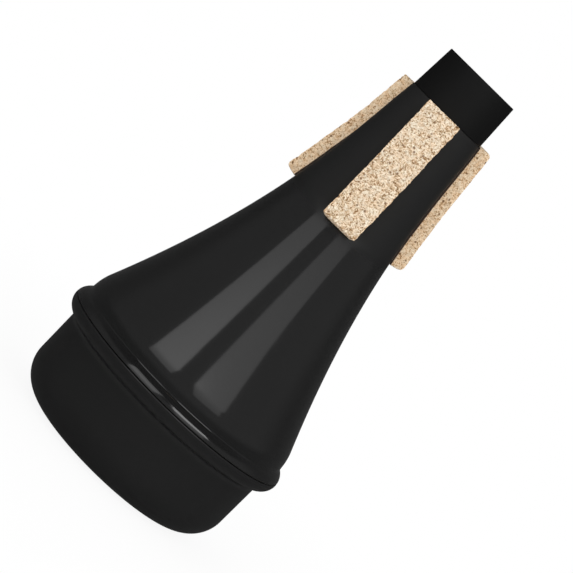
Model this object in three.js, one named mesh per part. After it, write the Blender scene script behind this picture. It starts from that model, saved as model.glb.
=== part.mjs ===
// Trumpet straight mute: a hollow plastic cone that wedges into the bell on three cork strips.
// Millimetres. +Z runs along the axis from the flat base to the open neck, -Y is the front,
// and the origin is the centre of the base.

import * as THREE from 'three';

// Whole mute
const muteLength = 175; // flat base to the end of the neck tube

// Base cap, the moulded cup that closes the wide end
const capRadius = 41.2; // outside of the wall, just above the rounded corner
const capDraft = 0.13; // how much wider the wall is where the bead starts
const capHeight = 33; // base to the flat rim that meets the shell
const capCorner = 12; // outside radius between the wall and the base
const capWall = 2.2;
const spigotInset = 1.45; // how far the collar stands in from the wall's outside
const spigotHeight = 7; // the collar that hides inside the shell
const spigotWall = 2;
const spigotEdge = 0.5; // chamfer that leads the collar in

// Body shell, the moulded cone
const shellWall = 1.8;
const shellOverhang = 1.4; // how far the top of the band stands past the cap's wall
const stopWidth = 1.9; // the inner ledge above the cap's collar
const neckRadius = 14.9; // outside of the cone at its narrow end
const neckAngle = 8; // degrees, the cone's flare at its narrow end
const neckPullShare = 0.184; // share of the cone's height over which that flare holds
const footAngle = 22.3; // degrees, the cone's flare where the shoulder starts
const footPullShare = 0.529; // share of the cone's height over which that flare holds
const shoulderRadius = 18; // rounding between the cone and the band
const bandAngle = 6.3; // degrees, the flare of the band above the bead
const bandRise = 6.2; // from the middle of the bead to the top of the band
const neckSocketDepth = 12; // straight bore that grips the neck tube
const neckSocketLead = 2; // slope that opens that bore into the chamber

// Bead round the joint, its upper half on the shell and its lower half on the cap
const beadRound = 4.65; // radius of the bead's section
const beadProud = 2.2; // how far it stands out past the foot of the band
const beadFillet = 0.8; // hollow rounding between band and bead
const beadRootFillet = 0.5; // hollow rounding between the cap's wall and the bead

// Neck tube, plugged into the narrow end
const tubeExposed = 16; // length that shows above the shell
const tubeTipRadius = 13.95;
const tubeInset = 0.15; // the tube's foot lies this far inside the shell's edge
const tubeWall = 1.7; // of the part inside the socket
const tubeEdge = 0.3; // chamfer round the tip and the plugged end

// Cork strips, bent round the cone a third of a turn apart
const corkLength = 49.5; // along the slope
const corkWidth = 12.7; // round the bend, halfway through the strip
const corkThickness = 4.6;
const corkInset = 0.3; // bare margin under the shell's top edge
const padThickness = 0.6; // double-sided adhesive pad under the cork
const padGap = 0.12; // clearance on each side of the pad

// Clearances between pieces
const seatGap = 0.3; // where one piece rests on another
const plugGap = 0.25; // round a plugged collar

// How finely round shapes are divided
const turnSteps = 60;
const coneSteps = 18;
const chamberSteps = 10;
const cornerSteps = 8;
const beadSteps = 6;
const shoulderSteps = 5;
const filletSteps = 3;
const corkSteps = 12;
const corkLanes = 5;
const halvings = 40; // of the interval searched for the chamber's foot

// Places that follow from the sizes
const degrees = Math.PI / 180;
const rootRadius = capRadius + capDraft;
const beadHeight = capHeight + seatGap / 2;
const bandTop = at(rootRadius + shellOverhang, beadHeight + bandRise);
const beadFoot = bandTop.x + bandRise * Math.tan(bandAngle * degrees);
const beadCentre = at(beadFoot + beadProud - beadRound, beadHeight);
const shellTop = muteLength - tubeExposed - seatGap;
const spigotRadius = rootRadius - spigotInset;
const socketRadius = spigotRadius + plugGap;
const spigotTop = capHeight + spigotHeight;
const stopHeight = spigotTop + seatGap;
const stopRadius = socketRadius - stopWidth;
const neckSocketRadius = neckRadius - shellWall;
const neckSocketFloor = shellTop - neckSocketDepth;
const corkLift = padGap + padThickness + padGap;
const jointAngle = Math.asin(seatGap / 2 / beadRound);
const shoulderCentre = bandTop.clone().sub(outward(bandAngle).multiplyScalar(shoulderRadius));
const cone = coneCurve();

const materials = {
  gloss: new THREE.MeshStandardMaterial({ color: 0x0b0b0c, roughness: 0.12, metalness: 0 }),
  cap: new THREE.MeshStandardMaterial({ color: 0x0a0a0b, roughness: 0.25, metalness: 0 }),
  matt: new THREE.MeshStandardMaterial({ color: 0x090909, roughness: 0.75, metalness: 0 }),
  cork: new THREE.MeshStandardMaterial({ color: 0xd9bd98, roughness: 0.9, metalness: 0 }),
  pad: new THREE.MeshStandardMaterial({ color: 0x1d130c, roughness: 0.8, metalness: 0 }),
};

// A point of an outline: its distance from the axis and its height
function at(radius, height) {
  return new THREE.Vector2(radius, height);
}

// The unit vector that stands square on a surface flaring by this many degrees
function outward(flare) {
  return at(Math.cos(flare * degrees), Math.sin(flare * degrees));
}

// Points round part of a circle, from one angle to another in radians
function arc(centre, radius, from, to, steps) {
  return Array.from({ length: steps + 1 }, (_, i) => {
    const angle = THREE.MathUtils.lerp(from, to, i / steps);
    return at(centre.x + radius * Math.cos(angle), centre.y + radius * Math.sin(angle));
  });
}

// The cone's outside from neck to shoulder, leaving each end at that end's own flare
function coneCurve() {
  const neck = at(neckRadius, shellTop);
  const foot = shoulderCentre.clone().add(outward(footAngle).multiplyScalar(shoulderRadius));
  const height = neck.y - foot.y;
  const neckPull = neckPullShare * height;
  const footPull = footPullShare * height;
  const neckHandle = at(neck.x + neckPull * Math.tan(neckAngle * degrees), neck.y - neckPull);
  const footHandle = at(foot.x - footPull * Math.tan(footAngle * degrees), foot.y + footPull);
  return new THREE.CubicBezierCurve(neck, neckHandle, footHandle, foot);
}

// A place on the cone at a share of its length from the neck, lifted square off the surface
function onCone(share, lift) {
  const slope = cone.getTangentAt(share);
  return cone.getPointAt(share).add(at(-slope.y, slope.x).multiplyScalar(lift));
}

// The share of the cone's length at which its inside is as wide as the given radius
function chamberShareAt(radius) {
  let narrow = 0;
  let wide = 1;
  for (let i = 0; i < halvings; i += 1) {
    const middle = (narrow + wide) / 2;
    if (onCone(middle, -shellWall).x < radius) narrow = middle;
    else wide = middle;
  }
  return narrow;
}

// A solid of revolution whose outline runs up its outside and down its inside
function turned(name, outline, material) {
  const geometry = new THREE.LatheGeometry(outline, turnSteps);
  geometry.rotateX(Math.PI / 2);
  const mesh = new THREE.Mesh(geometry, material);
  mesh.name = name;
  return mesh;
}

// The hollow rounding that leads from the cap's wall out to the bead
function wallToBead() {
  const centreRadius = rootRadius + beadRootFillet;
  const reach = beadRound + beadRootFillet;
  const rise = Math.sqrt(reach ** 2 - (centreRadius - beadCentre.x) ** 2);
  const centre = at(centreRadius, beadHeight - rise);
  const toBead = beadCentre.clone().sub(centre).angle();
  const points = arc(centre, beadRootFillet, Math.PI, toBead, filletSteps);
  return { beadFloor: toBead - Math.PI, points };
}

// Cup with a flat base, a rounded corner, half the bead and a collar that plugs the shell
function baseCap() {
  const root = wallToBead();
  const wallRadius = capRadius - capWall;
  const innerCorner = capCorner - capWall;
  const corner = at(capRadius - capCorner, capCorner);
  const collarRadius = spigotRadius - spigotWall;
  const jog = wallRadius - collarRadius;
  const outside = [
    at(0, 0),
    ...arc(corner, capCorner, -Math.PI / 2, 0, cornerSteps),
    ...root.points,
    ...arc(beadCentre, beadRound, root.beadFloor, -jointAngle, beadSteps).slice(1),
    at(spigotRadius, capHeight),
    at(spigotRadius, spigotTop - spigotEdge),
    at(spigotRadius - spigotEdge, spigotTop),
  ];
  const inside = [
    at(collarRadius, spigotTop),
    at(collarRadius, capHeight - capWall),
    at(wallRadius, capHeight - capWall - jog),
    ...arc(corner, innerCorner, 0, -Math.PI / 2, cornerSteps),
    at(0, capWall),
  ];
  return turned('base_cap', [...outside, ...inside], materials.cap);
}

// The hollow rounding that leads from the bead's top up to the band
function beadToBand() {
  const square = outward(bandAngle);
  const down = at(square.y, -square.x);
  const start = bandTop.clone().add(square.clone().multiplyScalar(beadFillet)).sub(beadCentre);
  const reach = beadRound + beadFillet;
  const along = start.dot(down);
  const drop = -along - Math.sqrt(along ** 2 - start.lengthSq() + reach ** 2);
  const centre = beadCentre.clone().add(start).add(down.multiplyScalar(drop));
  const toBead = beadCentre.clone().sub(centre).angle();
  const toBand = bandAngle * degrees + Math.PI;
  return { beadTop: toBead - Math.PI, points: arc(centre, beadFillet, toBead, toBand, filletSteps) };
}

// Cone, shoulder, band and half the bead in one moulding, with a socket at each end
function bodyShell() {
  const hollow = beadToBand();
  const rimHeight = capHeight + seatGap;
  const chamberTop = (neckSocketDepth + neckSocketLead) / cone.getLength();
  const chamberFoot = chamberShareAt(stopRadius);
  const chamber = Array.from({ length: chamberSteps + 1 }, (_, i) =>
    onCone(THREE.MathUtils.lerp(chamberTop, chamberFoot, i / chamberSteps), -shellWall));
  const outside = [
    at(socketRadius, rimHeight),
    ...arc(beadCentre, beadRound, jointAngle, hollow.beadTop, beadSteps),
    ...hollow.points.slice(1),
    ...arc(shoulderCentre, shoulderRadius, bandAngle * degrees, footAngle * degrees, shoulderSteps),
    ...cone.getSpacedPoints(coneSteps).reverse().slice(1),
  ];
  const inside = [
    at(neckSocketRadius, shellTop),
    at(neckSocketRadius, neckSocketFloor),
    ...chamber,
    at(stopRadius, stopHeight),
    at(socketRadius, stopHeight),
    at(socketRadius, rimHeight),
  ];
  return turned('body_shell', [...outside, ...inside], materials.gloss);
}

// Open tube that rests on the shell's top edge and plugs its neck socket
function neckTube() {
  const plugRadius = neckSocketRadius - plugGap;
  const boreRadius = plugRadius - tubeWall;
  const foot = shellTop + seatGap;
  const end = neckSocketFloor;
  const outline = [
    at(boreRadius, end),
    at(plugRadius - tubeEdge, end),
    at(plugRadius, end + tubeEdge),
    at(plugRadius, foot),
    at(neckRadius - tubeInset, foot),
    at(tubeTipRadius, muteLength - tubeEdge),
    at(tubeTipRadius - tubeEdge, muteLength),
    at(boreRadius, muteLength),
    at(boreRadius, end),
  ];
  return turned('neck_tube', outline, materials.matt);
}

// A place in a strip bent round the cone, at its shares of the length and width and its lift
function onStrip(along, across, lift) {
  const share = (corkInset + along * corkLength) / cone.getLength();
  const place = onCone(share, lift);
  const middle = onCone(share, corkLift + corkThickness / 2);
  const round = ((across - 1 / 2) * corkWidth) / middle.x;
  return [place.x * Math.sin(round), -place.x * Math.cos(round), place.y];
}

// A closed strip between two lifts above the cone, turned round the axis
function strip(name, underside, outerFace, turn, material) {
  const rows = corkSteps + 1;
  const lanes = corkLanes + 1;
  const places = [];
  for (const lift of [underside, outerFace]) {
    for (let i = 0; i < rows; i += 1) {
      for (let j = 0; j < lanes; j += 1) {
        places.push(...onStrip(i / corkSteps, j / corkLanes, lift));
      }
    }
  }
  const place = (layer, i, j) => layer * rows * lanes + i * lanes + j;
  const triangles = [];
  const quad = (a, b, c, d) => triangles.push(a, b, c, a, c, d);
  for (let i = 0; i < corkSteps; i += 1) {
    for (let j = 0; j < corkLanes; j += 1) {
      quad(place(0, i, j), place(0, i, j + 1), place(0, i + 1, j + 1), place(0, i + 1, j));
      quad(place(1, i, j), place(1, i + 1, j), place(1, i + 1, j + 1), place(1, i, j + 1));
    }
    quad(place(0, i, 0), place(0, i + 1, 0), place(1, i + 1, 0), place(1, i, 0));
    quad(place(0, i + 1, corkLanes), place(0, i, corkLanes), place(1, i, corkLanes),
      place(1, i + 1, corkLanes));
  }
  for (let j = 0; j < corkLanes; j += 1) {
    quad(place(0, 0, j + 1), place(0, 0, j), place(1, 0, j), place(1, 0, j + 1));
    quad(place(0, corkSteps, j), place(0, corkSteps, j + 1), place(1, corkSteps, j + 1),
      place(1, corkSteps, j));
  }
  const geometry = new THREE.BufferGeometry();
  geometry.setAttribute('position', new THREE.Float32BufferAttribute(places, 3));
  geometry.setIndex(triangles);
  geometry.computeVertexNormals();
  const mesh = new THREE.Mesh(geometry, material);
  mesh.name = name;
  mesh.rotation.z = turn;
  return mesh;
}

// One strip of cork and the adhesive pad that holds it
function corkAndPad(side, turn) {
  const padTop = padGap + padThickness;
  const corkTop = corkLift + corkThickness;
  return [
    strip(`cork_adhesive_${side}`, padGap, padTop, turn, materials.pad),
    strip(`cork_strip_${side}`, corkLift, corkTop, turn, materials.cork),
  ];
}

const group = new THREE.Group();
group.add(neckTube(), bodyShell(), baseCap());
['front', 'right', 'left'].forEach((side, i, sides) => {
  group.add(...corkAndPad(side, (i * 2 * Math.PI) / sides.length));
});

export default group;
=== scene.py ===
# Trumpet straight mute: three black plastic mouldings and three strips of pressed cork.
# Metres. +Z runs up the mute's axis from its flat base to its open neck, and -Y is the front.

import math
from itertools import product

import bpy
import numpy as np
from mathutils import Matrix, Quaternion, Vector


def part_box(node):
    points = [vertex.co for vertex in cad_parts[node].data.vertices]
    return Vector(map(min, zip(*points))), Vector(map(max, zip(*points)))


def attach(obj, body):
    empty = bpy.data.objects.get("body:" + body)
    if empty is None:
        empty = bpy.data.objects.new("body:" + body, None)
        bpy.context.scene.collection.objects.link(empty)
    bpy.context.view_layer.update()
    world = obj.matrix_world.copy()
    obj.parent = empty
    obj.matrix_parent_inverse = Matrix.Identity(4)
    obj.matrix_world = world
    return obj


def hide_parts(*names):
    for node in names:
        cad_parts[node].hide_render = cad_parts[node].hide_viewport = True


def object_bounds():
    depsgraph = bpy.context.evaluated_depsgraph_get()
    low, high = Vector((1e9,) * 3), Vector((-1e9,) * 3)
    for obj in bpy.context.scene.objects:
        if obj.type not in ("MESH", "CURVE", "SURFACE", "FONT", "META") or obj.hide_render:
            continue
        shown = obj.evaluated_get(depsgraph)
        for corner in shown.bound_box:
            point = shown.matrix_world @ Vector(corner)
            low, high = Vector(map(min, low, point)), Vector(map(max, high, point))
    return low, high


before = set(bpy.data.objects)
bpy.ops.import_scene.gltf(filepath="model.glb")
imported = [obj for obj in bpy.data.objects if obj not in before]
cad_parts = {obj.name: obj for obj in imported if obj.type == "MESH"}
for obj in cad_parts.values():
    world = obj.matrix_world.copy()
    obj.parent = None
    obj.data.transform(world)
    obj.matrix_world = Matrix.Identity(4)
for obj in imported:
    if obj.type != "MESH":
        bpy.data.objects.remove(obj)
solid_low, solid_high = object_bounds()
scene = bpy.context.scene
mm = 0.001


# The view
# The mute is seen from level with its open neck, looking slightly down, from a little to its
# right. The picture is turned, so that the upright mute leans to the right in it.
view_distance = 856 * mm
view_aim = Vector((2.24 * mm, 0, 82.4 * mm))
view_lean = math.radians(44.67)
view_lens = 165.83  # focal length in millimetres, on a sensor 36 mm wide
eye = Vector((view_aim.x, -view_distance, solid_high.z))
camera = bpy.data.objects.new("camera", bpy.data.cameras.new("camera"))
scene.collection.objects.link(camera)
camera.data.lens = view_lens
camera.location = eye
camera.rotation_mode = "QUATERNION"
upright = (view_aim - eye).to_track_quat("-Z", "Y")
camera.rotation_quaternion = upright @ Quaternion((0, 0, 1), view_lean)
scene.camera = camera


# Body shell
# One hollow injection moulding in polished black plastic: a flared cone with a rounded shoulder,
# a short band and the upper part of a round bead, which ends in the flat rim over the cap.
shell_low, shell_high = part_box("body_shell")
cap_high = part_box("base_cap")[1]
seat_gap = 0.3 * mm  # between the solids of shell and cap, round the bead and over the collar
plug_gap = 0.25 * mm  # round a collar in its socket
joint_gap = 0.14 * mm  # open line round the bead, between the shell and the cap
joint_rise = 0.75 * mm  # from the middle of the bead to the middle of that line
shell_wall = 1.8 * mm
shell_edge = 0.25 * mm  # how far back from a corner its easing starts
shell_rim_edge = 0.45 * mm  # the same from the stop ledge to the rim
neck_radius = 14.9 * mm
neck_angle = 8  # this angle and the next two are flares of the outside, in degrees
neck_pull_share = 0.184  # reach of the curve's handle there, as a share of the cone's rise
foot_angle = 22.3
foot_pull_share = 0.529
shoulder_radius = 19.5 * mm
band_angle = 6.3
band_rise = 6.2 * mm  # from the middle of the bead to the top of the band
band_top_radius = 42.79 * mm
bead_round = 4.65 * mm
bead_fillet = 0.8 * mm
socket_radius = 40.13 * mm
neck_socket_depth = 12 * mm
neck_socket_lead = 2 * mm
stop_width = 1.9 * mm  # ledge over the cap's collar
turn_steps = 216
run_spacing = 1.2 * mm
cone_steps = 481
outside_stride = 4  # of the cone's points, the outside takes one in this many
chamber_stride = 10
bead_steps = 61
fillet_steps = 13
shoulder_steps = 15
touching = 0.001 * mm  # points no farther apart than this count as one


def square_off(flare):
    """The unit vector, as (outwards, upwards), square to a surface that flares by these degrees:
    the cosine and the sine of the flare."""
    return np.array([math.cos(math.radians(flare)), math.sin(math.radians(flare))])


def arc(centre, radius, first, last, steps):
    """Part of a circle: the centre plus the radius times (cosine, sine) of angles that run evenly
    from first to last, in degrees."""
    angle = np.radians(np.linspace(first, last, steps))[:, None]
    return centre + radius * np.hstack([np.cos(angle), np.sin(angle)])


def bezier(start, start_handle, end_handle, end, steps):
    """A cubic Bezier curve: with t from 0 to 1 and s = 1 - t, its four points are added up with
    the weights s s s, 3 s s t, 3 s t t and t t t."""
    t = np.linspace(0, 1, steps)[:, None]
    s = 1 - t
    return s**3 * start + 3 * s**2 * t * start_handle + 3 * s * t**2 * end_handle + t**3 * end


def eased(corners, reach, steps=7):
    """A run through corners, with each inner one softened: a parabola takes its place, from one
    reach before the corner to one reach after it."""
    corners = np.array(corners, float)
    t = np.linspace(0, 1, steps)[:, None]
    parts = [corners[:1]]
    for before, corner, after in zip(corners, corners[1:], corners[2:]):
        start = corner + reach * (before - corner) / np.linalg.norm(before - corner)
        end = corner + reach * (after - corner) / np.linalg.norm(after - corner)
        parts.append((1 - t) ** 2 * start + 2 * t * (1 - t) * corner + t**2 * end)
    return np.vstack([*parts, corners[-1:]])


def divided(outline, spacing):
    """The same outline without doubled points, and with each run that is longer than the spacing
    cut into equal parts."""
    apart = np.linalg.norm(np.diff(outline, axis=0), axis=1) > touching
    outline = outline[np.append(True, apart)]
    step = np.diff(outline, axis=0)
    parts = np.ceil(np.linalg.norm(step, axis=1) / spacing).astype(int)
    which = np.repeat(np.arange(len(parts)), parts)
    share = (np.arange(len(which)) - np.repeat(np.cumsum(parts) - parts, parts)) / parts[which]
    return np.vstack([outline[which] + share[:, None] * step[which], outline[-1:]])


def closed_skin(name, rings, ends):
    """A closed mesh over rings of points: point j of a ring joins its two neighbours in the ring
    and point j of the next ring. With ends "meet" the last ring joins the first. With ends
    "point" the first ring and the last are one point each, closed by a fan of triangles."""
    around = rings.shape[1]
    if ends == "meet":
        points = rings.reshape(-1, 3)
        index = np.arange(len(points)).reshape(-1, around)
        index = np.vstack([index, index[:1]])
        fans = []
    else:
        points = np.vstack([rings[0, :1], rings[1:-1].reshape(-1, 3), rings[-1, :1]])
        index = np.arange(1, len(points) - 1).reshape(-1, around)
        near, far = index[0], index[-1]
        tip = np.full(around, len(points) - 1)
        fans = [*np.stack([0 * near, np.roll(near, -1), near], 1)]
        fans += [*np.stack([far, np.roll(far, -1), tip], 1)]
    a, b = index[:-1], index[1:]
    quads = np.stack([a, np.roll(a, -1, 1), np.roll(b, -1, 1), b], -1).reshape(-1, 4)
    skin = bpy.data.meshes.new(name)
    skin.from_pydata(points, [], [*quads, *fans])
    skin.shade_smooth()
    piece = bpy.data.objects.new(name, skin)
    scene.collection.objects.link(piece)
    return piece


def turned(name, outline, ends, aside=0):
    """An outline of (distance from the axis, height) turned round the axis: its point (r, z)
    goes to (aside + r cos a, r sin a, z) for angles a all the way round."""
    angle = np.linspace(0, 2 * np.pi, turn_steps, endpoint=False)
    radius, height = outline[:, :1], outline[:, 1:]
    across, back = aside + radius * np.cos(angle), radius * np.sin(angle)
    return closed_skin(name, np.stack([across, back, height + 0 * angle], -1), ends)


bead_height = shell_low.z - seat_gap / 2
bead_centre = np.array([shell_high.x - bead_round, bead_height])
band_top = np.array([band_top_radius, bead_height + band_rise])
shoulder_centre = band_top - shoulder_radius * square_off(band_angle)
stop_radius = socket_radius - stop_width
stop_height = cap_high.z + seat_gap
neck_socket_radius = neck_radius - shell_wall

# The cone's outside, from neck to shoulder, with the direction square to it at each point
cone_neck = np.array([neck_radius, shell_high.z])
cone_foot = shoulder_centre + shoulder_radius * square_off(foot_angle)
cone_rise = cone_neck[1] - cone_foot[1]
neck_pull = neck_pull_share * cone_rise * np.array([math.tan(math.radians(neck_angle)), -1])
foot_pull = foot_pull_share * cone_rise * np.array([-math.tan(math.radians(foot_angle)), 1])
cone = bezier(cone_neck, cone_neck + neck_pull, cone_foot + foot_pull, cone_foot, cone_steps)
cone_slope = np.gradient(cone, axis=0)
cone_slope /= np.linalg.norm(cone_slope, axis=1)[:, None]
cone_square = np.stack([-cone_slope[:, 1], cone_slope[:, 0]], 1)
cone_run = np.append(0, np.cumsum(np.linalg.norm(np.diff(cone, axis=0), axis=1)))

# The hollow rounding between bead and band, which touches both
band_square = square_off(band_angle)
down_band = np.array([band_square[1], -band_square[0]])
hollow_start = band_top + bead_fillet * band_square - bead_centre
hollow_along = hollow_start @ down_band
hollow_drop = -hollow_along - math.sqrt(
    hollow_along**2 - hollow_start @ hollow_start + (bead_round + bead_fillet) ** 2
)
hollow_centre = bead_centre + hollow_start + hollow_drop * down_band
bead_top_angle = math.degrees(math.atan2(*(hollow_centre - bead_centre)[::-1]))

shell_rim = bead_height + joint_rise + joint_gap / 2
bead_start = math.degrees((shell_rim + shell_rim_edge - bead_height) / bead_round)
bead = arc(bead_centre, bead_round, bead_start, bead_top_angle, bead_steps)
hollow = arc(hollow_centre, bead_fillet, bead_top_angle + 180, band_angle + 180, fillet_steps)
shoulder = arc(shoulder_centre, shoulder_radius, band_angle, foot_angle, shoulder_steps)
outside = np.vstack([bead, hollow, shoulder, cone[::-outside_stride]])

# The chamber follows the cone at one wall's thickness, from the neck socket to the stop ledge
chamber = cone - shell_wall * cone_square
below_socket = cone_run > neck_socket_depth + neck_socket_lead
chamber = chamber[below_socket & (chamber[:, 0] < stop_radius)][::chamber_stride]
neck_end = [
    outside[-2],
    cone_neck,
    (neck_socket_radius, shell_high.z),
    (neck_socket_radius, shell_high.z - neck_socket_depth),
    chamber[0],
    chamber[1],
]
cap_end = [
    chamber[-1],
    (stop_radius, chamber[-1][1] - (stop_radius - chamber[-1][0])),
    (stop_radius, stop_height),
    (socket_radius, stop_height),
    (socket_radius, shell_rim),
    (bead_centre[0] + bead_round, shell_rim),
    outside[0],
]
shell_outline = np.vstack(
    [outside[:-2], eased(neck_end, shell_edge), chamber[2:-1], eased(cap_end, shell_rim_edge)]
)
shell = turned("moulded_shell", divided(shell_outline, run_spacing)[:-1], "meet")


class Wire:
    """A node's output that carries numbers. Arithmetic on it adds Math nodes."""

    def __init__(self, paint, socket):
        self.paint = paint
        self.socket = socket

    def maths(self, operation, first, second):
        return self.paint.node("ShaderNodeMath", {"operation": operation}, {0: first, 1: second})

    def __add__(self, other):
        return self.maths("ADD", self, other)

    def __sub__(self, other):
        return self.maths("SUBTRACT", self, other)

    def __rsub__(self, other):
        return self.maths("SUBTRACT", other, self)

    def __mul__(self, other):
        return self.maths("MULTIPLY", self, other)

    __radd__ = __add__
    __rmul__ = __mul__

    def output(self, name):
        """Another output of the same node."""
        return Wire(self.paint, self.socket.node.outputs[name])


class Paint:
    """The nodes of one material, or of the world."""

    def __init__(self, owner):
        owner.use_nodes = True
        self.tree = owner.node_tree
        self.tree.nodes.clear()

    def node(self, kind, settings, sockets, output=0):
        """Adds a node: first its settings, where stops are a colour ramp's places and colours,
        then the values or links of its sockets. Gives one of its outputs."""
        made = self.tree.nodes.new(kind)
        settings = dict(settings)
        stops = settings.pop("stops", [])
        if stops:
            elements = made.color_ramp.elements
            elements.remove(elements[1])
            elements[0].position, elements[0].color = stops[0]
        for place, colour in stops[1:]:
            elements.new(place).color = colour
        for setting, value in settings.items():
            setattr(made, setting, value)
        for socket, value in sockets.items():
            if isinstance(value, Wire):
                self.tree.links.new(value.socket, made.inputs[socket])
            else:
                made.inputs[socket].default_value = value
        return Wire(self, made.outputs[output]) if made.outputs else None

    def noise(self, place, wave, detail):
        """Smooth noise about 0.5 whose waves have the given length, with finer ones on top."""
        sockets = {"Vector": place, "Scale": 1 / wave, "Detail": detail}
        return self.node("ShaderNodeTexNoise", {}, sockets)

    def fade(self, value, start, end):
        """Goes from 0 at the start value to 1 at the end value, along an S."""
        settings = {"interpolation_type": "SMOOTHSTEP"}
        sockets = {"Value": value, "From Min": start, "From Max": end}
        return self.node("ShaderNodeMapRange", settings, sockets)

    def blend(self, share, first, second):
        """The first colour where the share is 0, and the second where it is 1."""
        return self.node("ShaderNodeMix", {"data_type": "RGBA"}, {0: share, 6: first, 7: second}, 2)

    def surface(self, shader):
        """Makes a shader the surface of the material."""
        self.node("ShaderNodeOutputMaterial", {}, {"Surface": shader})


def shown(red, green, blue):
    """The colour that shows at these screen levels, from 0 to 255, under plain light."""
    share = np.array([red, green, blue]) / 255
    return *np.where(share <= 0.04045, share / 12.92, ((share + 0.055) / 1.055) ** 2.4), 1


def black_plastic(name, dark, light, roughness, wave, wave_height, grain, grain_height,
                  rubbed=0, root_painted_light=0, gloss=0.5):
    """Moulded black plastic. Its tone drifts from dark to light over some centimetres, handling
    leaves patches that are a little duller, and its skin has low waves and a fine grain. The
    neck, between the strips, is rubbed duller by as much as is given. In the hollow under the
    bead, that share of the colour is painted pale grey: painted light that lifts the shade there."""
    plastic = bpy.data.materials.new(name)
    paint = Paint(plastic)
    place = paint.node("ShaderNodeTexCoord", {}, {}, "Object")
    tone = paint.fade(paint.noise(place, tone_patch, detail=2), *tone_spread)
    handled = paint.fade(paint.noise(place, handled_patch, detail=4), *handled_spread)
    height = paint.node("ShaderNodeSeparateXYZ", {}, {"Vector": place}, "Z")
    dulled = handled * handled_dulling + paint.fade(height, *rubbed_from) * rubbed
    # painted light: a narrow band under the bead is lightened towards pale grey, to lift the shade
    # in that crease
    hollow = paint.fade(height, *painted_light_from) * (1 - paint.fade(height, *painted_light_to))
    waves = paint.noise(place, wave, detail=1) * wave_height
    relief = waves + paint.noise(place, grain, detail=2) * grain_height
    sockets = {
        "Base Color": paint.blend(hollow * root_painted_light, paint.blend(tone, dark, light), painted_light_grey),
        "Roughness": roughness + dulled,
        "Specular IOR Level": gloss,
        "Normal": paint.node("ShaderNodeBump", {}, {"Distance": 1, "Height": relief}),
    }
    paint.surface(paint.node("ShaderNodeBsdfPrincipled", {}, sockets))
    return plastic


tone_patch = 40 * mm
tone_spread = (0.3, 0.7)
handled_patch = 22 * mm
handled_spread = (0.5, 0.75)
handled_dulling = 0.035
rubbed_from = (106 * mm, 114 * mm)  # heights between which the rubbing sets in
painted_light_from = (26 * mm, 28 * mm)  # heights between which the painted light sets in, and then gives out
painted_light_to = (29.5 * mm, 32 * mm)
# the pale grey that the painted light under the bead blends towards
painted_light_grey = shown(120, 120, 120)
polished = black_plastic(
    "polished_black", dark=shown(22, 22, 22), light=shown(24, 24, 24), roughness=0.095,
    wave=9 * mm, wave_height=0.016 * mm, grain=0.4 * mm, grain_height=0.0002 * mm, rubbed=0.6,
)
shell.data.materials.append(polished)
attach(shell, "root")
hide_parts("body_shell")


# Base cap
# A deep cup in the same plastic with a softer gloss, which closes the wide end. Its wall turns out
# into the lower part of the bead, and the collar above that is glued inside the shell.
cap_radius = 41.2 * mm
cap_draft = 0.13 * mm
cap_corner = 12 * mm
cap_wall = 2.2 * mm
cap_edge = 0.4 * mm
cap_lip_edge = 0.45 * mm
root_fillet = 2.2 * mm
spigot_wall = 2 * mm
corner_steps = 41
inner_corner_steps = 31
root_steps = 9
wall_radius = cap_radius - cap_wall
spigot_radius = socket_radius - plug_gap
collar_radius = spigot_radius - spigot_wall
collar_foot = bead_height - cap_wall
cap_lip = bead_height + joint_rise - joint_gap / 2
corner_centre = np.array([cap_radius - cap_corner, cap_corner])

# The hollow rounding between wall and bead, which touches both
root_reach = cap_radius + cap_draft + root_fillet - bead_centre[0]
root_drop = math.sqrt((bead_round + root_fillet) ** 2 - root_reach**2)
root_centre = bead_centre + (root_reach, -root_drop)
root_angle = math.degrees(math.atan2(root_drop, -root_reach))
under_end = math.degrees((cap_lip - cap_lip_edge - bead_height) / bead_round)
bead_under = arc(bead_centre, bead_round, root_angle - 180, under_end, bead_steps)
lip = [
    bead_under[-1],
    (bead_centre[0] + bead_round, cap_lip),
    (spigot_radius, cap_lip),
]
collar = [
    (spigot_radius, cap_lip),
    (spigot_radius, cap_high.z),
    (collar_radius, cap_high.z),
    (collar_radius, collar_foot),
    (wall_radius, collar_foot - (wall_radius - collar_radius)),
    (wall_radius, cap_corner),
]
cap_outline = np.vstack([
    [(0, 0)],
    arc(corner_centre, cap_corner, -90, 0, corner_steps),
    arc(root_centre, root_fillet, 180, root_angle, root_steps),
    bead_under,
    eased(lip, cap_lip_edge),
    eased(collar, cap_edge),
    arc(corner_centre, cap_corner - cap_wall, 0, -90, inner_corner_steps)[1:],
    [(0, cap_wall)],
])
cap = turned("moulded_cap", divided(cap_outline, run_spacing), "point")
# the cap's hollow under the bead gets a little painted light, which lifts the shade there
satin = black_plastic(
    "satin_black", dark=shown(24, 24, 24), light=shown(25.5, 25.5, 25.5), roughness=0.31,
    wave=14 * mm, wave_height=0.02 * mm, grain=0.35 * mm, grain_height=0.001 * mm, root_painted_light=0.035,
)
cap.data.materials.append(satin)
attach(cap, "root")
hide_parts("base_cap")


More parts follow.
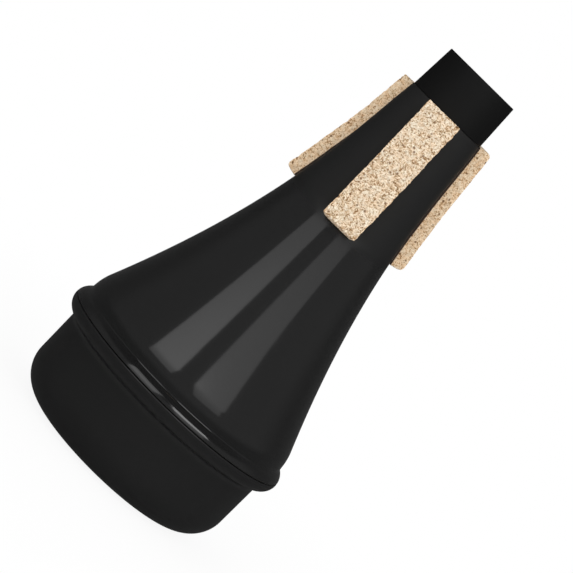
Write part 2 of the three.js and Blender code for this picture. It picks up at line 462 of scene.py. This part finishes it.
# Neck tube
# A short open tube in fine matt black plastic. Its narrower end plugs the shell's neck, where it
# is glued a little off the middle, and its foot sits on the shell's edge.
tube_low, tube_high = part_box("neck_tube")
tube_aside = 0.17 * mm
tube_tip_radius = 14.03 * mm
tube_foot_radius = 14.84 * mm
tube_wall = 1.7 * mm
tube_edge = 0.3 * mm
tube_gap = 0.05 * mm  # open line between the tube's foot and the shell's edge
plug_radius = neck_socket_radius - plug_gap
bore_radius = plug_radius - tube_wall
tube_foot = shell_high.z + tube_gap
bore_middle = (bore_radius, tube_foot)
tube_corners = [
    bore_middle,
    (bore_radius, tube_low.z),
    (plug_radius, tube_low.z),
    (plug_radius, tube_foot),
    (tube_foot_radius, tube_foot),
    (tube_tip_radius, tube_high.z),
    (bore_radius, tube_high.z),
    bore_middle,
]
tube_outline = divided(eased(tube_corners, tube_edge), run_spacing)[:-1]
tube = turned("matt_neck_tube", tube_outline, "meet", tube_aside)
matt = black_plastic(
    "matt_black", dark=shown(11, 11, 11), light=shown(13, 13, 13), roughness=0.6,
    wave=6 * mm, wave_height=0.01 * mm, grain=0.25 * mm, grain_height=0.006 * mm, gloss=0.25,
)
tube.data.materials.append(matt)
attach(tube, "root")
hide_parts("neck_tube")


# Cork strips
# Three strips sawn from pressed cork grains and bent round the neck, a third of a turn apart.
# They wedge the mute into the bell. Grains have broken out of their faces and worn edges.
cork_corner = 0.3 * mm
cork_spacing = 0.2 * mm
cork_bend_steps = 3  # points round each long edge
cork_end_steps = 9  # stations round each end
no_area = 1e-18  # square metres, in place of nothing where all points of a ring meet
open_seams = (0.25, 0.6)  # a coarse grain's seam opens as its luck goes from here to there
uneven = 0.05 * mm  # how far the lowest fine grains lie under the highest
crumb_depth = 0.1 * mm
crumb_reach = 0.7 * mm  # how far from an edge it crumbles
crumb_luck = (0.55, 0.9)  # a fine grain there crumbles as its luck goes from here to there
whole_foot = 0.6 * mm  # breakage grows from nothing at the pad to its full depth up here
sawn_reach = (0.1 * mm, 0.6 * mm)  # distance from a side at which it gives way to the outer face

# Coarse grains, packed with fine ones. For each: its size; how wide its seams are, how deep and
# how dark; the luck at which a grain is lost; and how far its pit reaches and how deep that is.
# Widths and reaches are in sizes.
coarse = dict(size=1.4 * mm, seam=0.22, seam_depth=0.07 * mm, seam_dark=0.7,
              lost=(0.9, 0.93), pit=(0.25, 0.6), pit_depth=0.22 * mm)
fine = dict(size=0.45 * mm, seam=0.3, seam_depth=0.03 * mm, seam_dark=0.35,
            lost=(0.86, 0.9), pit=(0.2, 0.6), pit_depth=0.14 * mm)

# For each of 64 x 32 x 16 cubes, the place of a grain's middle in it and the grain's luck
grain_table = np.random.default_rng(11).random((64, 32, 16, 4))

# The long waves and ripples of a sawn side, as (length, height)
saw_waves = ((17 * mm, 0.06 * mm), (7.3 * mm, 0.07 * mm), (3.1 * mm, 0.05 * mm))

# No two strips are cut quite alike. For each one: its turn in degrees, the bare margin above it
# and its length; from its upper to its lower end, at even steps, the lift off the shell, the
# thickness, the width, the sideways place, and how far its outer edge and its side edges are
# rounded off; and how ragged its left and its right side are.
strips = [
    dict(side="front", turn=0, margin=0.51 * mm, length=49.3 * mm,
         lift=(0.84 * mm, 0.84 * mm), thickness=(4.6 * mm, 4.6 * mm),
         width=(12.33 * mm, 12.66 * mm, 12.88 * mm), place=(-0.42 * mm, 0.25 * mm, 0.52 * mm),
         outer_nose=(0.3 * mm, 0.4 * mm), side_nose=(0.2 * mm, 0.4 * mm), ragged=(0.3, 1)),
    dict(side="right", turn=120, margin=0.05 * mm, length=48.55 * mm,
         lift=(0.78 * mm, 0.93 * mm, 1.17 * mm, 1.17 * mm), thickness=(4.53 * mm, 4.7 * mm),
         width=(12.7 * mm, 12.7 * mm), place=(0.1 * mm, -0.1 * mm),
         outer_nose=(1.5 * mm, 2.2 * mm), side_nose=(0.4 * mm, 0.6 * mm), ragged=(1, 1)),
    dict(side="left", turn=240, margin=0.6 * mm, length=49.2 * mm,
         lift=(0.15 * mm, 0.15 * mm, 1 * mm, 1.35 * mm), thickness=(4.45 * mm, 4.55 * mm),
         width=(12.7 * mm, 12.7 * mm), place=(-1.6 * mm, 0.1 * mm),
         outer_nose=(0.4 * mm, 1.6 * mm), side_nose=(0.3 * mm, 0.5 * mm), ragged=(1, 1)),
]


def softly(value, start, end):
    """0 up to start and 1 from end on, along an S: with x the share of the way, 3xx - 2xxx."""
    share = np.clip((value - start) / (end - start), 0, 1)
    return share * share * (3 - 2 * share)


def part_way(strip, size, along):
    """A strip's size at places along it: its values lie evenly from the upper to the lower end,
    with straight lines between them."""
    stations = np.linspace(0, strip["length"], len(strip[size]))
    return np.interp(along, stations, strip[size])


def drawn_in(strip, nose, along):
    """How far a rounded edge draws in near the ends. With R the radius there and d the distance
    from the end, up to R, it is R less the square root of RR - (R - d)(R - d)."""
    radius = np.array(strip[nose])[:, None]
    reach = (radius - np.stack([along, strip["length"] - along])).clip(0)
    return (radius - np.sqrt(radius**2 - reach**2)).sum(0)


def strip_loop(half_width, half_height, spacing):
    """A rounded rectangle as a loop that runs anticlockwise: which way each point lies from the
    middle, from -1 to 1 across and up, and the direction square to the loop there. A point is
    the first, times the half sizes less the corner's radius, plus that radius times the second."""
    corners = np.array([(1, -1), (1, 1), (-1, 1), (-1, -1), (1, -1)], float)
    ways, squares = [], []
    for quarter, (corner, following) in enumerate(zip(corners, corners[1:])):
        side = 2 * (half_height, half_width)[quarter % 2]
        flat = np.linspace(0, 1, round(side / spacing))[:, None]
        bend = np.radians(np.linspace(0, 90, cork_bend_steps + 2)[1:-1] + 90 * quarter)
        ways += [corner + flat * (following - corner), np.tile(following, (len(bend), 1))]
        squares += [np.tile(square_off(90 * quarter), (len(flat), 1))]
        squares += [np.stack([np.cos(bend), np.sin(bend)], 1)]
    return np.vstack(ways), np.vstack(squares)


def strip_rings(strip, corner, spacing):
    """A bar as rings of points (along, across, up): a rounded rectangle at each station, with the
    stations closer together on the rounded ends, and each end filled by shrinking rings."""
    ease = 1 - np.cos(np.linspace(0, np.pi / 2, cork_end_steps))
    upper, lower = np.maximum(strip["outer_nose"], strip["side_nose"])
    first, last = upper * ease, strip["length"] - lower * ease[::-1]
    between = np.linspace(first[-1], last[0], round((last[0] - first[-1]) / spacing))
    along = np.concatenate([first, between[1:-1], last])
    low = part_way(strip, "lift", along)
    high = low + part_way(strip, "thickness", along) - drawn_in(strip, "outer_nose", along)
    half_width = part_way(strip, "width", along) / 2 - drawn_in(strip, "side_nose", along)
    half_width = half_width[:, None]
    half_height = ((high - low) / 2)[:, None]
    way, square = strip_loop(half_width.max(), half_height.max(), spacing)
    across = way[:, 0] * (half_width - corner) + square[:, 0] * corner
    up = way[:, 1] * (half_height - corner) + square[:, 1] * corner
    fill = round(half_height.max() / spacing)
    row = np.arange(-fill, len(along) + fill).clip(0, len(along) - 1)
    ring = np.arange(len(row))
    size = (np.minimum(ring, ring[::-1]) / fill).clip(0, 1)[:, None]
    middle = (low[:, None] + half_height)[row]
    return np.stack([along[row][:, None] + 0 * across[row], size * across[row],
                     middle + size * up[row]], -1)


def square_out(rings):
    """The direction square to rings of points: the step round the ring crossed with the step to
    the next ring, brought to a length of 1."""
    square = np.cross(np.roll(rings, -1, 1) - np.roll(rings, 1, 1), np.gradient(rings, axis=0))
    return square / np.linalg.norm(square, axis=2, keepdims=True).clip(no_area)


def cork_grains(place, size):
    """Packed grains: space is cut into cubes of one size, each with a grain's middle at a random
    place in it. Gives how far each point is from the nearest middle and from the second nearest,
    in sizes, and a random number that all points of a grain share."""
    cube = np.floor(place / size).astype(int)
    nearest = np.full(place.shape[:-1], np.inf)
    second, luck = nearest.copy(), nearest.copy()
    for step in product((-1, 0, 1), repeat=3):
        other = cube + step
        dice = grain_table[tuple(np.moveaxis(other % grain_table.shape[:3], -1, 0))]
        gap = np.linalg.norm(other + dice[..., :3] - place / size, axis=-1)
        second = np.minimum(second, np.maximum(gap, nearest))
        luck = np.where(gap < nearest, dice[..., 3], luck)
        nearest = np.minimum(nearest, gap)
    return nearest, second, luck


def seams_and_pits(place, grain):
    """How far each point lies in a seam between grains, where the nearest middle and the second
    nearest are about as far, and in the pit of a lost grain, round its middle, both from 0 to 1;
    and the random number of its grain."""
    nearest, second, luck = cork_grains(place, grain["size"])
    seam = 1 - softly(second - nearest, 0, grain["seam"])
    pit = softly(luck, *grain["lost"]) * (1 - softly(nearest, *grain["pit"]))
    return seam, pit, luck


def broken(rings, strip):
    """How deep a cork strip's surface lies under its smooth form, in metres; how far it is painted
    dark, from 0 to 1, in the seams between grains, which are brown, and in the pits of lost
    grains, as painted shade; the number of the grain there; and how far it is a sawn side rather
    than the outer face. The depth adds up seams, pits, the uneven heights of the fine grains and
    the crumbled edges."""
    along, across, up = np.moveaxis(rings, -1, 0)
    batch = rings + strip["turn"] * mm  # the strip's own place in the block of cork
    seam, pit, luck = seams_and_pits(batch, coarse)
    fine_seam, fine_pit, fine_luck = seams_and_pits(batch, fine)
    seam *= softly(luck, *open_seams)
    base, top = part_way(strip, "lift", along), part_way(strip, "thickness", along)
    inwards = part_way(strip, "width", along) / 2 - abs(across)
    edges = np.sort([along, strip["length"] - along, inwards, base + top - up], 0)
    ragged = np.where(across < 0, *strip["ragged"])
    crumbling = (1 - softly(edges[1], 0, crumb_reach)) * softly(fine_luck, *crumb_luck) * ragged
    depth = coarse["seam_depth"] * seam + coarse["pit_depth"] * pit
    depth += fine["seam_depth"] * fine_seam + fine["pit_depth"] * fine_pit
    depth += uneven * fine_luck + crumb_depth * crumbling
    # the seams darken by the binder's own brown; the pits of lost grains take painted shade
    dark_seams = coarse["seam_dark"] * seam, fine["seam_dark"] * fine_seam
    seam_and_pit_shade = np.maximum.reduce([*dark_seams, pit, fine_pit])
    # the strips' sides: painted a lighter tone, as painted light that lifts the shade the shell
    # throws on them, and tinted warmer
    side_painted_light_and_tint = 1 - softly(inwards, *sawn_reach)
    return depth * softly(up - base, 0, whole_foot), seam_and_pit_shade, luck, side_painted_light_and_tint


def wavered(rings, strip):
    """Lets the two long sides waver as a saw leaves them: each point moves across by three sine
    waves along the strip, those of its own side, in proportion to its distance from the middle."""
    along, across = rings[..., 0], rings[..., 1]
    phases = np.random.default_rng(strip["turn"]).random((2, len(saw_waves))) * 2 * np.pi
    moved = rings.copy()
    for side, phase, ragged in zip((-1, 1), phases, strip["ragged"]):
        wave = 0 * along
        for (length, height), start in zip(saw_waves, phase):
            wave += ragged * height * np.sin(2 * np.pi * along / length + start)
        moved[..., 1] += wave * (2 * side * across / part_way(strip, "width", along)).clip(0)
    return moved


def on_cone(rings, strip):
    """Bends rings of points (along, across, up) round the shell. Along runs down its outline from
    the margin, up goes square to it, and across becomes an angle: across over the radius halfway
    through the strip. With r the distance from the axis, the point is (r sin a, -r cos a, z)."""
    along, across, up = np.moveaxis(rings, -1, 0)
    run = strip["margin"] + along
    radius, height = (np.interp(run, cone_run, cone[:, i]) for i in (0, 1))
    outwards, upwards = (np.interp(run, cone_run, cone_square[:, i]) for i in (0, 1))
    halfway = part_way(strip, "lift", along) + part_way(strip, "thickness", along) / 2
    angle = (across + part_way(strip, "place", along)) / (radius + outwards * halfway)
    angle += math.radians(strip["turn"])
    radius += outwards * up
    return np.stack([radius * np.sin(angle), -radius * np.cos(angle), height + upwards * up], -1)


def mark(piece, name, values):
    """Stores one number for each point of a piece made of rings that end in points."""
    stored = np.concatenate([values[0, :1], values[1:-1].ravel(), values[-1, :1]])
    piece.data.attributes.new(name, "FLOAT", "POINT").data.foreach_set("value", stored)


# The colour at each tone, what the tone adds up, and the tints, specks and skin that follow
cork_tones = [
    (0.02, shown(118, 88, 53)),
    (0.2, shown(163, 133, 98)),
    (0.36, shown(200, 175, 143)),
    (0.48, shown(223, 204, 176)),
    (0.6, shown(239, 223, 199)),
    (0.8, shown(250, 240, 221)),
]
grain_weight = 0.3
fine_weight = 0.6
mottle_wave = 0.8 * mm
mottle_weight = 0.7
dust_wave = 0.33 * mm
dust_weight = 1.5
# painted light on the strips' sides, which lifts the shade the shell throws on them
side_painted_light_weight = 0.12
tone_drop = 1.01
ruddy_patch = 1.8 * mm
ruddy_spread = (0.36, 0.64)
ruddy_tint = (1, 0.92, 0.85, 1)
# warmer tint of the strips' sides
side_tint = (1, 0.905, 0.8, 1)
# brown for the seams between grains, which also paints shade into the pits of lost grains
seam_and_pit_shade_brown = shown(146, 106, 64)
seam_and_pit_shade_share = 0.5
bark_size = 1 * mm
bark_luck = (0.06, 0.12)
bark_reach = (0.25, 0.55)
bark_brown = shown(108, 72, 36)
bark_share = 0.85
pore_wave = 0.22 * mm
pore_depth = 0.05 * mm
crumb_fall = 0.03 * mm  # for each size away from a fine grain's middle


def pressed_cork():
    """Pressed cork: grains from light to mid tan, ruddier in patches, with brown seams, dark
    specks of bark and painted shade in the pits. Their tone adds up a number of the coarse grain,
    one of the fine grain, mottling and dust, each times its weight. The sides are painted a
    lighter tone, as painted light that lifts the shade the shell throws on them, and have a
    warmer tint than the outer face. Matt, with a dry pitted skin."""
    material = bpy.data.materials.new("pressed_cork")
    paint = Paint(material)
    place = paint.node("ShaderNodeTexCoord", {}, {}, "Object")
    grain = paint.node("ShaderNodeAttribute", {"attribute_name": "grain"}, {}, "Fac")
    seam_and_pit_shade = paint.node("ShaderNodeAttribute", {"attribute_name": "seam_and_pit_shade"}, {}, "Fac")
    side_painted_light_and_tint = paint.node("ShaderNodeAttribute", {"attribute_name": "side_painted_light_and_tint"}, {}, "Fac")
    crumb = paint.node("ShaderNodeTexVoronoi", {}, {"Vector": place, "Scale": 1 / fine["size"]})
    fine_tone = paint.node("ShaderNodeSeparateColor", {}, {"Color": crumb.output("Color")})
    mottle = paint.noise(place, mottle_wave, detail=4)
    dust = paint.noise(place, dust_wave, detail=2)
    tone = grain * grain_weight + fine_tone * fine_weight + mottle * mottle_weight
    # the sides are raised in tone: painted light against the shade the shell throws on them
    tone = tone + dust * dust_weight + side_painted_light_and_tint * side_painted_light_weight - tone_drop
    tan = paint.node("ShaderNodeValToRGB", {"stops": cork_tones}, {"Fac": tone})
    ruddy = paint.fade(paint.noise(place, ruddy_patch, detail=3), *ruddy_spread)
    tint = {"data_type": "RGBA", "blend_type": "MULTIPLY"}
    tan = paint.node("ShaderNodeMix", tint, {0: ruddy, 6: tan, 7: ruddy_tint}, 2)
    warm = paint.node("ShaderNodeMix", tint, {0: side_painted_light_and_tint, 6: tan, 7: side_tint}, 2)
    speck = paint.node("ShaderNodeTexVoronoi", {}, {"Vector": place, "Scale": 1 / bark_size})
    speck_luck = paint.node("ShaderNodeSeparateColor", {}, {"Color": speck.output("Color")})
    bark = (1 - paint.fade(speck_luck, *bark_luck)) * (1 - paint.fade(speck, *bark_reach))
    # the seams' brown, and painted shade in the pits
    browned = paint.blend(seam_and_pit_shade * seam_and_pit_shade_share, warm, seam_and_pit_shade_brown)
    specked = paint.blend(bark * bark_share, browned, bark_brown)
    relief = paint.noise(place, pore_wave, detail=3) * pore_depth - crumb * crumb_fall
    sockets = {
        "Base Color": specked,
        "Roughness": 0.8 + mottle * 0.15,
        "Specular IOR Level": 0.12,
        "Normal": paint.node("ShaderNodeBump", {}, {"Distance": 1, "Height": relief}),
    }
    paint.surface(paint.node("ShaderNodeBsdfPrincipled", {}, sockets))
    return material


cork = pressed_cork()
for strip in strips:
    rings = strip_rings(strip, cork_corner, cork_spacing)
    depth, seam_and_pit_shade, grain, side_painted_light_and_tint = broken(rings, strip)
    rings = wavered(rings - depth[..., None] * square_out(rings), strip)
    piece = closed_skin(f"pressed_cork_{strip['side']}", on_cone(rings, strip), "point")
    mark(piece, "seam_and_pit_shade", seam_and_pit_shade)
    mark(piece, "grain", grain)
    mark(piece, "side_painted_light_and_tint", side_painted_light_and_tint)
    piece.data.materials.append(cork)
    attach(piece, "root")
    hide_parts(f"cork_strip_{strip['side']}")


# Adhesive pads
# A thin pad of dark double-sided adhesive under each strip, cut a little smaller than the cork
# and pressed down on the shell. It shows as a brown line between the two.
pad_inset = 0.35 * mm
pad_gap = 0.03 * mm  # open line under the pad, and over it
pad_corner = 0.04 * mm
pad_spacing = 0.5 * mm
adhesive_patch = 2 * mm
adhesive_lump = 0.05 * mm


def adhesive():
    """Dark brown adhesive: uneven in tone, with a dull and slightly lumpy skin."""
    material = bpy.data.materials.new("dark_adhesive")
    paint = Paint(material)
    place = paint.node("ShaderNodeTexCoord", {}, {}, "Object")
    patch = paint.noise(place, adhesive_patch, detail=3)
    relief = patch * adhesive_lump
    sockets = {
        "Base Color": paint.blend(patch, shown(40, 26, 17), shown(66, 44, 28)),
        "Roughness": 0.5 + patch * 0.3,
        "Normal": paint.node("ShaderNodeBump", {}, {"Distance": 1, "Height": relief}),
    }
    paint.surface(paint.node("ShaderNodeBsdfPrincipled", {}, sockets))
    return material


dark_adhesive = adhesive()
for strip in strips:
    depths = [lift - 2 * pad_gap for lift in strip["lift"]]
    pad = dict(strip, margin=strip["margin"] + pad_inset, length=strip["length"] - 2 * pad_inset,
               width=[width - 2 * pad_inset for width in strip["width"]],
               lift=(pad_gap, pad_gap), thickness=depths, outer_nose=(pad_corner, pad_corner))
    rings = strip_rings(pad, pad_corner, pad_spacing)
    piece = closed_skin(f"adhesive_pad_{strip['side']}", on_cone(rings, pad), "point")
    piece.data.materials.append(dark_adhesive)
    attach(piece, "root")
    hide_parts(f"cork_adhesive_{strip['side']}")


# Studio
# White surroundings and an even light. Soft panels stand to the left, to the right and behind. A
# dark cloth all round, which only reflections show, keeps the plastic black.
air_light = 0.9  # strength of the white light that falls on the mute
board_grey = 0.9
bright_near = 0.91  # share of plain white in the floor near the mute, where its shadow falls
shadow_reach = (80 * mm, 250 * mm)
panel_distance = 1000 * mm
panel_foot = 386 * mm
panel_head = 1576 * mm  # of the two taller panels
panel_rows = 25
panel_columns = 17
cloth_radius = 2500 * mm
cloth_steps = 33
cloth_turn = 1500 * mm  # how far behind the mute the cloth's front pattern has given way
cloth_strength = 1.05  # factor of the cloth's glow right in front
cloth_behind = 0.45  # how much smaller that factor is at the far back
cloth_right = 0.1  # how much larger it is at the far right, and smaller at the far left
floor_radius = 6000 * mm
floor_depth = 10 * mm
floor_drop = 0.2 * mm  # from the mute's base down to the floor


def soft_panel(name, outer, inner, heads, glow):
    """A lit panel that bends round the mute at one distance. Its outer and inner edges are given
    as azimuths in degrees, spread evenly from foot to head with straight lines between them. Its
    head runs straight from one height at the outer edge to another at the inner edge, and its glow
    changes with height, by stops that go from 0 at the foot to 1 at the taller panels' head."""
    way_up = np.linspace(0, 1, panel_rows)[:, None]
    way_in = np.linspace(0, 1, panel_columns)[None, :]
    outer = np.interp(way_up, np.linspace(0, 1, len(outer)), outer)
    inner = np.interp(way_up, np.linspace(0, 1, len(inner)), inner)
    azimuth = np.radians(outer + (inner - outer) * way_in)
    outer_head, inner_head = heads
    head = outer_head + (inner_head - outer_head) * way_in
    height = panel_foot + (head - panel_foot) * way_up
    across, back = panel_distance * np.sin(azimuth), -panel_distance * np.cos(azimuth)
    places = np.stack([across, back, height], -1)
    index = np.arange(panel_rows * panel_columns).reshape(panel_rows, panel_columns)
    quads = np.stack([index[:-1, :-1], index[:-1, 1:], index[1:, 1:], index[1:, :-1]], -1)
    sheet = bpy.data.meshes.new(name)
    sheet.from_pydata(places.reshape(-1, 3), [], quads.reshape(-1, 4))
    panel = bpy.data.objects.new(name, sheet)
    scene.collection.objects.link(panel)
    lit = bpy.data.materials.new(name)
    paint = Paint(lit)
    place = paint.node("ShaderNodeTexCoord", {}, {}, "Object")
    rise = paint.node("ShaderNodeSeparateXYZ", {}, {"Vector": place}, "Z")
    share_up = paint.node(
        "ShaderNodeMapRange", {}, {"Value": rise, "From Min": panel_foot, "From Max": panel_head}
    )
    brightest = max(level for _, level in glow)
    stops = [(at, (level / brightest,) * 3 + (1,)) for at, level in glow]
    grey = paint.node("ShaderNodeValToRGB", {"stops": stops}, {"Fac": share_up})
    paint.surface(paint.node("ShaderNodeEmission", {}, {"Color": grey, "Strength": brightest}))
    panel.data.materials.append(lit)
    panel.visible_camera = False


def looked_at(paint):
    """1 where the camera, a reflection or a refraction looks, and 0 where only light falls."""
    rays = paint.node("ShaderNodeLightPath", {}, {}, "Is Camera Ray")
    seen = rays.maths("MAXIMUM", rays, rays.output("Is Glossy Ray"))
    return rays.maths("MAXIMUM", seen, rays.output("Is Transmission Ray"))


even_heads = (panel_head, panel_head)
left_glow = [(0, 0.95), (0.1, 1.15), (0.3, 1.92), (0.55, 1.87), (0.75, 1.45), (1, 1.6)]
right_glow = [(0, 0.78), (0.28, 1.2), (0.33, 4), (0.42, 5), (0.6, 5), (1, 4.5)]
back_glow = [(0, 0.6), (1, 1.2)]
right_heads = (1060 * mm, 1320 * mm)
soft_panel("left_panel", outer=(-42.5, -50), inner=(-12.5, -3), heads=even_heads, glow=left_glow)
soft_panel("right_panel", outer=(45.5, 46, 55, 56, 55), inner=(14.5, 10.3, 10.6, 11),
           heads=right_heads, glow=right_glow)
soft_panel("back_panel", outer=(163, 163), inner=(197, 197), heads=even_heads, glow=back_glow)

cloth = turned("dark_cloth", arc(np.zeros(2), cloth_radius, -90, 90, cloth_steps), "point")
dull = bpy.data.materials.new("dark_cloth")
paint = Paint(dull)
place = paint.node("ShaderNodeTexCoord", {}, {}, "Object")
spot = paint.node("ShaderNodeSeparateXYZ", {}, {"Vector": place})
lift = spot.output("Z") * (0.5 / cloth_radius) + 0.5  # from 0 at the bottom to 1 at the top
cloth_glow = [(0, 0.12), (0.47, 0.12), (0.53, 0.1), (0.6, 0.27), (0.79, 0.26), (0.86, 0.05)]
cloth_back = (0.1, 0.1, 0.1, 1)
stops = [(at, (shade, shade, shade, 1)) for at, shade in cloth_glow]
in_front = paint.node("ShaderNodeValToRGB", {"stops": stops}, {"Fac": lift})
grey = paint.blend(paint.fade(spot.output("Y"), 0, cloth_turn), in_front, cloth_back)
behind = paint.fade(spot.output("Y"), -cloth_radius, cloth_radius)
strength = cloth_strength - behind * cloth_behind
strength = strength + spot.output("X") * (cloth_right / cloth_radius)
paint.surface(paint.node("ShaderNodeEmission", {}, {"Color": grey, "Strength": strength}))
cloth.data.materials.append(dull)
cloth.visible_camera = False
cloth.visible_diffuse = False
cloth.visible_transmission = False
cloth.visible_shadow = False

floor_low = -floor_drop - floor_depth
floor_outline = np.array([
    (0, floor_low),
    (floor_radius, floor_low),
    (floor_radius, -floor_drop),
    (0, -floor_drop),
])
floor = turned("floor", floor_outline, "point")
white = bpy.data.materials.new("white_floor")
paint = Paint(white)
place = paint.node("ShaderNodeTexCoord", {}, {}, "Object")
away = paint.node("ShaderNodeVectorMath", {"operation": "LENGTH"}, {0: place}, "Value")
share = (bright_near + paint.fade(away, *shadow_reach) * (1 - bright_near)) * looked_at(paint)
board = paint.node("ShaderNodeBsdfDiffuse", {}, {"Color": (board_grey,) * 3 + (1,)})
glow = paint.node("ShaderNodeEmission", {}, {"Strength": 1})
paint.surface(paint.node("ShaderNodeMixShader", {}, {0: share, 1: board, 2: glow}))
floor.data.materials.append(white)
floor.visible_glossy = False

world = bpy.data.worlds.new("studio")
scene.world = world
paint = Paint(world)
level = air_light + looked_at(paint) * (1 - air_light)
background = paint.node("ShaderNodeBackground", {}, {"Color": (1, 1, 1, 1), "Strength": level})
paint.node("ShaderNodeOutputWorld", {}, {"Surface": background})

scene.view_settings.view_transform = "Standard"
